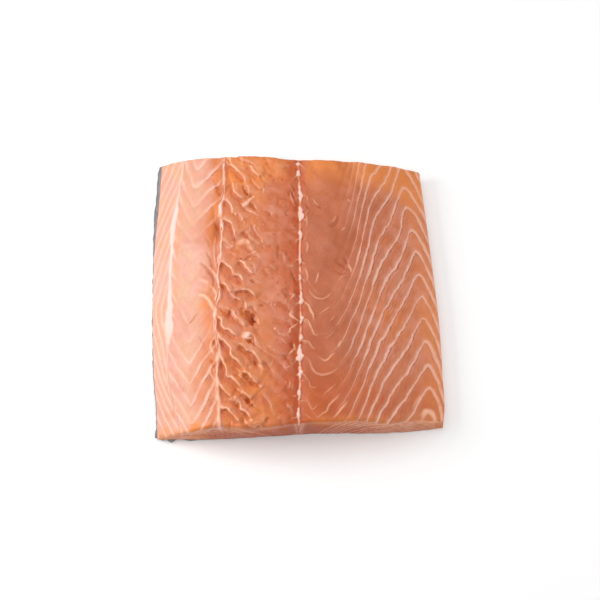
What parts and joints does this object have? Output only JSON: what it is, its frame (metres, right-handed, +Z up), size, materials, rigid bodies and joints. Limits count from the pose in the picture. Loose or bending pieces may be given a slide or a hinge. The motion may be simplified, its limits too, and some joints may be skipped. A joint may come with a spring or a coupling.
{
  "type": "salmon fillet",
  "caption": "Square-cut piece of raw salmon fillet lying skin side down: a domed block of flesh with a thin dark skin under it.",
  "frame": {"origin": "on the floor, under the middle of the piece's bounding box", "axes": "+Z up, through the piece's thickness; +Y along the fish, from the cut that faces the viewer to the far cut; +X across it, from the back (thin edge, dark skin) to the belly side"},
  "size_m": [0.1604, 0.1604, 0.0312],
  "materials": {
    "flesh": "raw salmon flesh: moist, soft sheen, orange-pink with pale fat lines, light passing a little way into it",
    "skin": "fish skin: wet, slate grey with dark spots towards the back, silver in the middle, pale towards the belly, fine scales"
  },
  "bodies": {
    "root": {"flesh": "flesh", "skin": "skin"}
  },
  "joints": []
}
